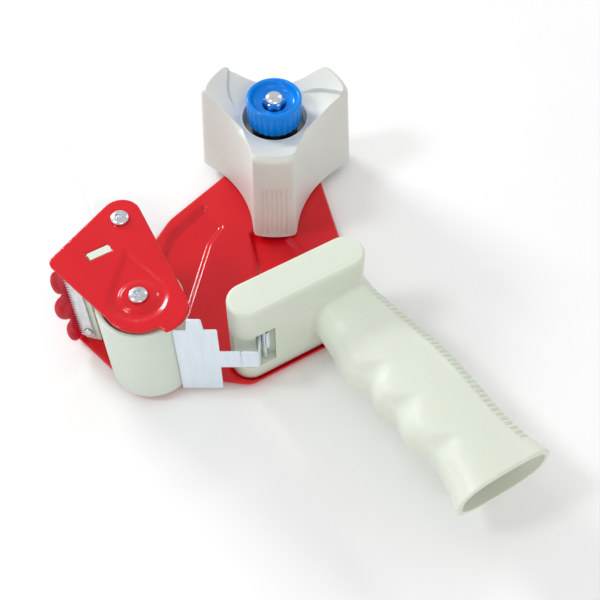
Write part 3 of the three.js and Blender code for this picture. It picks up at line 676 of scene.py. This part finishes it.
rings.append(circle_ring(HUB["well"] + 0.5, HUB["dish"]))
# The swept top.
near_pad = np.clip(1 - (np.abs(from_lobe(bearing)) - 14) / 6, 0, 1)
crown_line = foot_line * scaled(HUB["top"] - 1.5)
reach = np.hypot(crown_line[:, 0], crown_line[:, 1])
start = circle_ring(HUB["well"] + 0.5, 0)[:, :2]
valley = 1 - np.clip((60 - np.abs(from_lobe(bearing))) / 26, 0, 1)
bevel = 0.35 + 2.0 * near_pad + 1.5 * valley
unit = crown_line / reach[:, None]
stop = crown_line - unit * bevel[:, None]
for t in np.linspace(0, 1, 46)[1:]:
    flat = start + (stop - start) * t
    rings.append(np.column_stack([flat, hub_top(flat[:, 0], flat[:, 1])]))
last = rings[-1][:, 2]
for part, fall in ((0.5, 0.32), (0.85, 0.75), (1.0, 1.0)):
    flat = stop + unit * (bevel * part)[:, None]
    rings.append(np.column_stack([flat, last - fall * bevel * (0.9 - 0.35 * valley)]))
edge_z = rings[-1][:, 2]
# The side walls, with shallow flutes down the lower part of each pad.
lobe_angle = from_lobe(bearing)
across = np.radians(lobe_angle) * HUB["foot"]
on_pad = np.abs(across) < HUB["half"] - 1.2
for t in np.linspace(0, 1, 40)[1:]:
    z = edge_z + (HUB["bottom"] + 0.5 - edge_z) * t
    line = foot_line * scaled(z)[:, None]
    fluted = eased(t, 0.34, 0.38) * (1 - eased(t, 0.965, 0.985))
    flutes = np.where(np.abs(across) < 6.6, 0.5 - 0.5 * np.cos(across / 2.2 * 2 * np.pi), 0)
    inwards = 0.6 * fluted * np.where(on_pad, flutes, 0)
    line = line - line / np.hypot(line[:, 0], line[:, 1])[:, None] * inwards[:, None]
    rings.append(np.column_stack([line, z]))
points = np.vstack(rings)
piece("lobed_hub", points, bands(len(rings), AROUND, True), GREY, "hub", ["tape_hub"], 28)


# ---- Knob and nut -------------------------------------------------------------------------
knob_low, knob_high = (np.array(v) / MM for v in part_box("brake_knob"))
knob_radius = (knob_high[0] - knob_low[0]) / 2
FLUTES = 26
turn = np.linspace(0, 2 * np.pi, FLUTES * 14, endpoint=False)
groove = (0.5 - 0.5 * np.cos(FLUTES * turn)) ** 2
low, high = knob_low[2], knob_high[2]
profile = [
    (3.4, low, 0), (knob_radius - 1.0, low, 0.5), (knob_radius - 0.3, low + 0.2, 1),
    (knob_radius, low + 0.8, 1), (knob_radius, high - 3.2, 1), (knob_radius, high - 2.6, 0.7),
    (knob_radius, high - 2.0, 0.1), (knob_radius, high - 1.2, 0), (knob_radius - 0.12, high - 0.55, 0),
    (knob_radius - 0.45, high - 0.15, 0), (knob_radius - 0.9, high, 0), (knob_radius - 1.4, high - 0.08, 0),
    (knob_radius - 1.8, high - 0.4, 0), (knob_radius - 2.1, high - 1.2, 0),
    (knob_radius - 2.6, high - 2.5, 0),
    (knob_radius - 3.4, high - 3.5, 0), (knob_radius - 4.4, high - 4.0, 0), (5.6, high - 4.1, 0),
    (5.35, high - 4.3, 0), (5.35, 48.7, 0), (3.4, 48.7, 0),
]
rings = []
for r, z, deep in profile:
    radius = r - 0.5 * deep * groove
    rings.append(np.column_stack([radius * np.cos(turn), radius * np.sin(turn), np.full(len(turn), z)]))
piece("fluted_knob", np.vstack(rings), bands(len(rings), len(turn), True),
      BLUE, "knob", ["brake_knob"], 40)

nut_low, nut_high = (np.array(v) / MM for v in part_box("knob_nut"))
turn = np.linspace(0, 2 * np.pi, 96, endpoint=False)
wedge = (turn + math.pi / 6) % (math.pi / 3) - math.pi / 6
hexagon = 4.33 / np.cos(wedge)
shoulder, dome = nut_high[2] - 2.4, 4.3
rings = []
nut_steps = (
    (nut_low[2], 0), (nut_low[2] + 0.3, 1), (shoulder - 0.6, 1), (shoulder - 0.3, 0.7), (shoulder, 0),
)
for z, share in nut_steps:
    radius = dome + (hexagon - dome) * share
    rings.append(np.column_stack([radius * np.cos(turn), radius * np.sin(turn), np.full(96, z)]))
for t in np.linspace(0.08, 1, 12):
    a = t * math.pi / 2
    radius = dome * math.cos(a) + 0.001
    z = shoulder + (nut_high[2] - shoulder) * math.sin(a)
    rings.append(np.column_stack([radius * np.cos(turn), radius * np.sin(turn), np.full(96, z)]))
faces = bands(len(rings), 96)
faces.append(tuple(range(96)))
faces.append(tuple(range((len(rings) - 1) * 96, len(rings) * 96)))
piece("domed_nut", np.vstack(rings), faces, BRIGHT, "knob", ["knob_nut"], 25)


# ---- Handle -------------------------------------------------------------------------------
STATIONS = [
    (-85, -37, -7.2), (-98, -36.6, -6), (-110, -36.8, -3.6), (-123, -38.6, -0.6), (-133, -34.6, 1.6),
    (-141, -35.8, 2.8), (-149, -32.4, 3.5), (-160, -33.4, 4.1), (-172, -29.6, 4.6), (-184, -30.4, 6.8),
    (-193.6, -33, 10),
]


def smooth_line(ys, values, at):
    """Catmull-Rom through the stations, read at each y."""
    ys, values = np.array(ys, float), np.array(values, float)
    slopes = np.gradient(values, ys)
    out = []
    for y in np.atleast_1d(at):
        i = int(np.clip(np.searchsorted(-ys, -y) - 1, 0, len(ys) - 2))
        h = ys[i + 1] - ys[i]
        t = np.clip((y - ys[i]) / h, 0, 1)
        a, b = values[i], values[i + 1]
        ma, mb = slopes[i] * h, slopes[i + 1] * h
        out.append((2 * t ** 3 - 3 * t * t + 1) * a + (t ** 3 - 2 * t * t + t) * ma
                   + (3 * t * t - 2 * t ** 3) * b + (t ** 3 - t * t) * mb)
    return np.array(out)


GRIP = {"middle": 26.0, "half": 12.8, "end": -193.6, "wall": 2.4, "round": 0.7}


def grip_rings(start, end, count, shrink, around=96):
    ys = np.linspace(start, end, count)
    y_at = [s[0] for s in STATIONS]
    low = smooth_line(y_at, [s[1] for s in STATIONS], ys) + shrink
    high = smooth_line(y_at, [s[2] for s in STATIONS], ys) - shrink
    turn = np.linspace(0, 2 * np.pi, around, endpoint=False)
    c = np.sign(np.cos(turn)) * np.abs(np.cos(turn)) ** GRIP["round"]
    s = np.sign(np.sin(turn)) * np.abs(np.sin(turn)) ** GRIP["round"]
    rings = []
    for y, a, b in zip(ys, low, high):
        half = GRIP["half"] - shrink
        rings.append(np.column_stack([
            (a + b) / 2 + (b - a) / 2 * c, np.full(around, y), GRIP["middle"] + half * s,
        ]))
    points = np.vstack(rings)
    faces = bands(count, around)
    faces.append(tuple(range(around)))
    faces.append(tuple(range((count - 1) * around, count * around))[::-1])
    return points, faces


def block_rings(shrink, low, high, edge=1.8):
    rings = []
    for t in np.linspace(0, 1, 5):
        a = t * math.pi / 2
        rings.append((shrink + 0.6 * (1 - math.sin(a)), low + 0.6 * (1 - math.cos(a))))
    for t in np.linspace(0, 1, 8):
        a = t * math.pi / 2
        rings.append((shrink + edge * (1 - math.cos(a)), high - edge * (1 - math.sin(a))))
    count = 160
    out = []
    for s, z in rings:
        line = []
        r = BLOCK["radius"] - s
        for x, a0 in ((BLOCK["left"], 90), (BLOCK["right"], -90)):
            for t in np.radians(np.linspace(a0, a0 + 180, count // 2)):
                line.append((x + r * math.cos(t), BLOCK["y"] + r * math.sin(t), z))
        out.append(np.array(line))
    faces = bands(len(out), count)
    faces.append(tuple(range(count)))
    faces.append(tuple(range((len(out) - 1) * count, len(out) * count))[::-1])
    return np.vstack(out), faces


def plain_object(name, points, faces):
    mesh = bpy.data.meshes.new(name)
    mesh.from_pydata((np.asarray(points) * MM).tolist(), [], faces)
    work = bmesh.new()
    work.from_mesh(mesh)
    bmesh.ops.recalc_face_normals(work, faces=work.faces)
    work.to_mesh(mesh)
    work.free()
    obj = bpy.data.objects.new(name, mesh)
    SCENE.collection.objects.link(obj)
    return obj


def applied(obj, kind, **settings):
    """Runs one modifier on the object and keeps its result as the mesh."""
    modifier = obj.modifiers.new(kind.lower(), kind)
    for name, value in settings.items():
        setattr(modifier, name, value)
    bpy.context.view_layer.update()
    result = bpy.data.meshes.new_from_object(obj.evaluated_get(bpy.context.evaluated_depsgraph_get()))
    obj.modifiers.clear()
    obj.data = result
    return obj


def cut(obj, cutter):
    applied(obj, "BOOLEAN", operation="DIFFERENCE", object=cutter, solver="MANIFOLD")
    bpy.data.objects.remove(cutter)


def vertices(obj):
    flat = np.zeros(len(obj.data.vertices) * 3)
    obj.data.vertices.foreach_get("co", flat)
    return flat.reshape(-1, 3) / MM


def set_vertices(obj, points):
    obj.data.vertices.foreach_set("co", (points * MM).ravel())
    obj.data.update()


block_points, block_faces = block_rings(0, BLOCK["bottom"], BLOCK["top"])
grip_points, grip_faces = grip_rings(-85, GRIP["end"], 150, 0)
both = np.vstack([block_points, grip_points])
both_faces = block_faces + [tuple(i + len(block_points) for i in f) for f in grip_faces]
handle = plain_object("moulded_handle", both, both_faces)
applied(handle, "REMESH", mode="VOXEL", voxel_size=0.5 * MM)

# The grip flows out of the block: the corner between them is smoothed away.
pts = vertices(handle)
edges = np.zeros(len(handle.data.edges) * 2, int)
handle.data.edges.foreach_get("vertices", edges)
edges = edges.reshape(-1, 2)
degree = np.bincount(edges.ravel(), minlength=len(pts))


def relaxed(pts, weight, rounds):
    for _ in range(rounds):
        total = np.zeros_like(pts)
        for axis in range(3):
            total[:, axis] = (
                np.bincount(edges[:, 0], pts[edges[:, 1], axis], len(pts))
                + np.bincount(edges[:, 1], pts[edges[:, 0], axis], len(pts))
            )
        pts = pts + (total / degree[:, None] - pts) * weight[:, None]
    return pts


GRIP_MIDDLE = 26  # height of the grip's centre line
RIB_PITCH = 2.45
face_y = BLOCK["y"] - BLOCK["radius"]
near = 1 - eased(np.abs(pts[:, 1] - (face_y - 0.5)), 4.0, 9.0)
near = near * (1 - eased(np.abs(pts[:, 2] - GRIP_MIDDLE), 17, 21))
near *= eased(pts[:, 0], -50, -42) * (pts[:, 1] < face_y + 0.6)
pts = relaxed(pts, near * 0.5, 160)
pts = relaxed(pts, np.full(len(pts), 0.3), 3)

# Fine ribs across the grip's back, and hollows beside the finger grooves.
y_at = [s[0] for s in STATIONS]
back_x = smooth_line(y_at, [s[2] for s in STATIONS], pts[:, 1])
finger_x = smooth_line(y_at, [s[1] for s in STATIONS], pts[:, 1])
on_grip = eased(-pts[:, 1], 98, 100) * (1 - eased(-pts[:, 1], 184, 187))
off = back_x - pts[:, 0]
rib = (0.5 - 0.5 * np.cos(pts[:, 1] / RIB_PITCH * 2 * np.pi)) ** 1.5
groove = 0.8 * rib * on_grip * (1 - eased(off, 5.4, 6.6))
pts[:, 0] -= groove * (1 - 0.6 * eased(off, 1, 5))
pts[:, 2] += np.sign(GRIP_MIDDLE - pts[:, 2]) * groove * eased(np.abs(pts[:, 2] - GRIP_MIDDLE), 3, 11)
for y, deep in ((-111.5, 0.7), (-132.5, 1.5), (-151.5, 1.5), (-173.0, 1.5)):
    gap = np.hypot((pts[:, 1] - y) / 7.0, (pts[:, 0] - finger_x) / 11.5)
    toward = np.sign(GRIP_MIDDLE - pts[:, 2])
    hollow = deep * (1 - eased(gap, 0.15, 1.0))
    pts[:, 2] += toward * hollow * eased(np.abs(pts[:, 2] - GRIP_MIDDLE), 5, 11)
top_pts = np.where(pts[:, 2] > 49)[0]
block_outline = stadium(BLOCK["left"], BLOCK["right"], BLOCK["y"], BLOCK["radius"])
inset = depth_inside(block_outline, pts[top_pts, :2])
pts[top_pts, 2] -= 0.16 * np.exp(-((inset - 2.4) / 0.32) ** 2)
set_vertices(handle, pts)

A = math.radians(-30.72)


def from_guide(u, v):
    return u * math.cos(A) - v * math.sin(A), u * math.sin(A) + v * math.cos(A)


def guide_box(u0, u1, v0, v1, z0, z1, corner=0.0):
    line = rounded_outline([(u0, v0, corner), (u1, v0, corner), (u1, v1, corner), (u0, v1, corner)], 2.0) \
        if corner else np.array([(u0, v0), (u1, v0), (u1, v1), (u0, v1)], float)
    flat = np.array([from_guide(*p) for p in line])
    n = len(flat)
    points = np.vstack([np.column_stack([flat, np.full(n, z0)]), np.column_stack([flat, np.full(n, z1)])])
    faces = bands(2, n) + [tuple(range(n)), tuple(range(n, 2 * n))[::-1]]
    return points, faces


core_points, core_faces = grip_rings(-97, GRIP["end"] + 0.001, 60, GRIP["wall"])
last_ring = core_points[-96:].copy()
last_ring[:, 1] = -198
core_points = np.vstack([core_points, last_ring])
core_faces = bands(61, 96) + [tuple(range(96)), tuple(range(60 * 96, 61 * 96))[::-1]]
cut(handle, plain_object("core", core_points, core_faces))
line = stadium(-36, -30, BLOCK["y"], BLOCK["radius"] - 2.6)
n = len(line)
hollow = np.vstack([
    np.column_stack([line, np.full(n, -1.0)]),
    np.column_stack([line, np.full(n, BLOCK["top"] - 3)]),
])
hollow_faces = bands(2, n) + [tuple(range(n)), tuple(range(n, 2 * n))[::-1]]
cut(handle, plain_object("hollow", hollow, hollow_faces))
cut(handle, plain_object("notch", *guide_box(-24, 1.6, -125, -110.2, 10.5, 32.6, 0.8)))
cut(handle, plain_object("notch_deep", *guide_box(-6.4, 1.6, -125, -104.2, 10.5, 34.4, 0.8)))
finished(handle, IVORY, "frame", ["handle"], 50)

# ---- Guide plate --------------------------------------------------------------------------
GUIDE = {"face": -118.3, "thick": 0.8, "pin": (-3.0, -107.4), "curl": 1.5}


def guide_place(points):
    """Points drawn as (u, z, depth from the outer face) to the row frame."""
    x, y = from_guide(points[:, 0], GUIDE["face"] + points[:, 2])
    return np.column_stack([x, y, points[:, 1]])


seam = -12.0
outline = rounded_outline([
    (-38.3, 3, 0.6), (-21, 3, 0.6), (-21, 20.4, 0.5), (seam, 20.4, 0.01), (seam, 32.3, 0.01),
    (-20.8, 32.3, 0.5), (-20.8, 48.6, 0.9), (-26, 48.6, 0.5), (-26.6, 56, 1.0), (-32.2, 56, 1.0),
    (-33, 48.8, 0.5), (-38.3, 48.8, 0.6),
], 0.9)
points, faces = sheet_mesh(
    outline, [],
    lambda p: np.full(len(p), GUIDE["thick"]),
    lambda p: np.zeros(len(p)),
    guide_place, grid=1.6, edge=0.18,
)
# The tongue: a strip that turns in round a bend and curls about its pin.
half = GUIDE["thick"] / 2
pin = np.array(GUIDE["pin"])
middle = GUIDE["face"] + half
leg = pin[0] - GUIDE["curl"] - half
path = [(seam - 0.4, middle), (-9, middle), (leg - 1.2, middle)]
for t in np.radians(np.linspace(-80, 0, 6)):
    path.append((leg - 1.0 + 1.0 * math.cos(t), middle + 1.0 + 1.0 * math.sin(t)))
path += [(leg, middle + 4), (leg, pin[1] - 1.5), (leg, pin[1])]
for t in np.radians(np.linspace(165, -70, 18)):
    path.append(tuple(pin + (GUIDE["curl"] + half) * np.array([math.cos(t), math.sin(t)])))
path = np.array(path)
along = np.gradient(path, axis=0)
along /= np.linalg.norm(along, axis=1)[:, None]
side = np.column_stack([-along[:, 1], along[:, 0]])
rings = []
for i, (centre, normal) in enumerate(zip(path, side)):
    inwards = 0.0 if i < 2 else 0.6 * min(1, (i - 1) / 3)
    z0, z1, r = 20.4 + inwards, 32.3 - inwards, 0.18
    section = [(-half + r, z0), (half - r, z0), (half, z0 + r), (half, z1 - r), (half - r, z1),
               (-half + r, z1), (-half, z1 - r), (-half, z0 + r)]
    ring = []
    for s, z in section:
        u, v = centre + normal * s
        ring.append((*from_guide(u, v), z))
    rings.append(np.array(ring))
strip = np.vstack(rings)
strip_end = range((len(rings) - 1) * 8, len(rings) * 8)
strip_faces = bands(len(rings), 8) + [tuple(range(8)), tuple(strip_end)[::-1]]
faces = faces + [tuple(i + len(points) for i in f) for f in strip_faces]
points = np.vstack([points, strip])
piece("zinc_guide", points, faces, ZINC, "guide", ["guide_plate"], 40)

# ---- Wiper --------------------------------------------------------------------------------
wiper_low, wiper_high = (np.array(v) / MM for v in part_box("wiper"))
ROOT, HEM = -102.2, -121.6
FINGERS = [(10.5, -124.8), (27.5, -127.4), (44.0, -124.8)]
line = [(ROOT, wiper_low[2]), (ROOT, wiper_high[2]), (HEM, wiper_high[2])]
for middle_z, reach_x in reversed(FINGERS):
    top_z, low_z = min(middle_z + 7.4, wiper_high[2]), max(middle_z - 7.4, wiper_low[2])
    for t in np.linspace(0, 1, 16)[1:]:
        bow = 3 * t * (1 - t)
        line.append((HEM + (reach_x - 1.2 - HEM) * bow, top_z + (low_z - top_z) * (t * t * (3 - 2 * t))))
    line.append((HEM, low_z - 0.05))
spaced_line = [p for i, p in enumerate(line) if i == 0 or np.hypot(*(np.array(p) - line[i - 1])) > 0.2]
outline = resampled(spaced_line, 0.8)


def scoop(p):
    """How deep the rubber is dished at a point drawn as (x, z)."""
    out = np.zeros(len(p))
    for middle_z, reach_x in FINGERS:
        gap = np.hypot((p[:, 0] - (HEM - 0.4)) / 3.6, (p[:, 1] - middle_z) / 5.2)
        out = np.maximum(out, 1 - eased(gap, 0.1, 1.0))
    return out


near_face = wiper_low[1]


def drooped(q):
    """The loose edge hangs forward, more towards the foot."""
    lean = eased(-q[:, 0], 115.5, 122.5) * (wiper_high[2] - q[:, 1]) * 0.085
    return np.column_stack([q[:, 0] - 0.25 * lean, q[:, 2] - lean, q[:, 1]])


points, faces = sheet_mesh(
    outline, [],
    lambda p: near_face + 1.5 - 0.15 * scoop(p[:, :2]),
    lambda p: near_face + 0.75 * scoop(p[:, :2]),
    drooped, grid=0.7, edge=0.45,
)
piece("scalloped_wiper", points, faces, RUBBER, "frame", ["wiper"], 60)

# ---- Clear film ---------------------------------------------------------------------------
film_low, film_high = (np.array(v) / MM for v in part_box("clear_flap"))
FILM_ANGLE = math.radians(78.5)
FILM_LENGTH = 72
root = np.array([-101.2, -34.0])
way = np.array([math.cos(FILM_ANGLE), math.sin(FILM_ANGLE)])
cross = np.array([-way[1], way[0]])
outline = rounded_outline([
    (0, film_low[2], 0.5), (FILM_LENGTH, film_low[2], 5),
    (FILM_LENGTH, film_high[2], 5), (0, film_high[2], 0.5),
], 1.5)


def film_wave(p):
    return 0.22 * np.sin(p[:, 0] / FILM_LENGTH * math.pi) * np.cos(p[:, 1] / 50 * math.pi)


def film_place(q):
    flat = root + q[:, :1] * way + q[:, 2:3] * cross
    return np.column_stack([flat, q[:, 1]])


points, faces = sheet_mesh(
    outline, [],
    lambda p: film_wave(p) + 0.16,
    lambda p: film_wave(p) - 0.16,
    film_place, grid=2.4, edge=0.05,
)
piece("film_flap", points, faces, FILM, "flap", ["clear_flap"], 60)

# ---- CAD pieces that keep their shape -----------------------------------------------------
for node in ("friction_washer", "pressure_washer", "brake_spring"):
    dressed(node, DARK)
for node in ("hub_spindle", "roller_shaft", "spacer_post", "guide_pin",
             "handle_screw_1", "handle_screw_2"):
    dressed(node, BRIGHT)
for node in ("blade", "blade_rivet_1", "blade_rivet_2", "wiper_rivet_1", "wiper_rivet_2"):
    dressed(node, GROUND)
dressed("blade_holder", IVORY)

# ---- Floor and light ----------------------------------------------------------------------
n = Nodes("floor")
floor_material = n.set(
    Base_Color=n.mixed(n.spread(n.noise(6, 3), 0, 1), (0.90, 0.90, 0.90), (0.93, 0.93, 0.93)),
    Roughness=0.9,
)
floor_mesh = bpy.data.meshes.new("floor")
size = 3.0
floor_corners = [(-size, -size, 0), (size, -size, 0), (size, size, 0), (-size, size, 0)]
floor_mesh.from_pydata(floor_corners, [], [(0, 1, 2, 3)])
floor_mesh.materials.append(floor_material)
floor = bpy.data.objects.new("floor", floor_mesh)
SCENE.collection.objects.link(floor)

world = bpy.data.worlds.new("studio")
SCENE.world = world
world.use_nodes = True
world.node_tree.nodes["Background"].inputs["Color"].default_value = (1, 1, 1, 1)
world.node_tree.nodes["Background"].inputs["Strength"].default_value = 0.66


def softbox(name, place, target, width, height, power, colour=(1, 1, 1)):
    light = bpy.data.lights.new(name, "AREA")
    light.shape = "RECTANGLE"
    light.size, light.size_y = width, height
    light.energy = power
    light.color = colour
    obj = bpy.data.objects.new(name, light)
    obj.location = place
    obj.rotation_euler = (Vector(target) - Vector(place)).to_track_quat("-Z", "Y").to_euler()
    SCENE.collection.objects.link(obj)


AIM = Vector((-0.05, -0.08, 0.02))


def towards(right, away, up, distance=1.1):
    """A place seen from the aim point in the camera's own right, away and up directions."""
    way = Vector((*from_guide(right, away), up)).normalized()
    return AIM + way * distance


softbox("back_left", towards(-0.70, 0.72, 0.45), AIM, 0.30, 0.12, 5.2)
softbox("back_right", towards(0.55, 0.75, 0.60), AIM, 0.10, 0.10, 0.8)
softbox("top_left", towards(-0.60, -0.10, 0.80), AIM, 0.20, 0.20, 2.6, (0.93, 0.97, 1))
softbox("front", towards(0.25, -0.75, 0.70), AIM, 0.50, 0.25, 1.7, (1, 0.96, 0.88))
